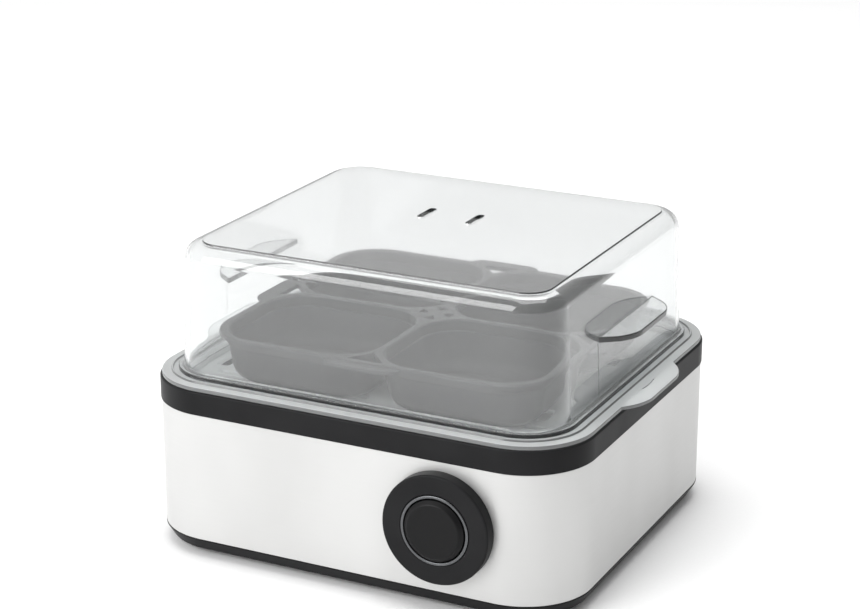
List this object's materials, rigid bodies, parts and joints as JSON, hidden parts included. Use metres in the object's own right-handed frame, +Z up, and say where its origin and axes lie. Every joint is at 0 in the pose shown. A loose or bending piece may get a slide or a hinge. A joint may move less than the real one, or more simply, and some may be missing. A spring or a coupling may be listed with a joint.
{
  "type": "egg cooker",
  "caption": "Electric egg cooker with a steel-clad water base, a clear egg tray, a black poaching tray, a clear lid and a round push button.",
  "frame": {"origin": "on the table, under the middle of the body", "axes": "+X to the right along the front, +Y to the back, +Z up"},
  "size_m": [0.256, 0.2342, 0.1621],
  "materials": {
    "black_plastic": "satin moulded",
    "black_coating": "satin non-stick coating",
    "clear_plastic": "clear, slightly milky",
    "brushed_steel": "fine satin",
    "grey_plate": "grey non-stick coating",
    "aluminium": "mill",
    "plated_steel": "zinc plated",
    "rubber": "matt",
    "silicone": "matt",
    "ceramic": "matt",
    "board_green": "satin",
    "silver_plastic": "silver coated",
    "wire_jacket": "satin"
  },
  "bodies": {
    "base": {"top_housing": "black_plastic", "steel_jacket": "brushed_steel", "bottom_cover": "black_plastic", "heating_plate": "grey_plate", "switch_bezel": "black_plastic", "light_ring": "silver_plastic", "plate_seal": "silicone", "heat_spreader": "aluminium", "heating_element": "plated_steel", "element_terminal_left": "plated_steel", "element_terminal_right": "plated_steel", "thermostat": "ceramic", "thermal_fuse": "ceramic", "plate_clamp": "plated_steel", "clamp_screw_left": "plated_steel", "clamp_screw_right": "plated_steel", "switch_body": "black_plastic", "button_spring": "plated_steel", "lamp_board": "board_green", "cord_gland": "black_plastic", "terminal_block": "ceramic", "wire_live": "wire_jacket", "wire_neutral": "wire_jacket", "wire_switched": "wire_jacket", "wire_lamp": "wire_jacket", "cover_screw_front_left": "plated_steel", "cover_screw_front_right": "plated_steel", "cover_screw_rear_left": "plated_steel", "cover_screw_rear_right": "plated_steel", "foot_front_left": "rubber", "foot_front_right": "rubber", "foot_rear_left": "rubber", "foot_rear_right": "rubber"},
    "egg_tray": {"egg_tray": "clear_plastic"},
    "poaching_tray": {"poaching_tray": "black_coating"},
    "lid": {"lid": "clear_plastic"},
    "button": {"push_button": "black_plastic"}
  },
  "joints": [
    {"name": "egg_tray_lift", "type": "slide", "parent": "base", "child": "egg_tray", "axis": [0, 0, 1], "range_m": [0, 0.0164]},
    {"name": "poaching_tray_lift", "type": "slide", "parent": "egg_tray", "child": "poaching_tray", "axis": [0, 0, 1], "range_m": [0, 0.0184]},
    {"name": "lid_lift", "type": "slide", "parent": "poaching_tray", "child": "lid", "axis": [0, 0, 1], "range_m": [0, 0.0435]},
    {"name": "button_press", "type": "slide", "parent": "base", "child": "button", "axis": [0, 1, 0], "range_m": [0, 0.003], "stiffness_N_per_m": 400, "springref_m": -0.001, "deforming": ["button_spring"]}
  ]
}
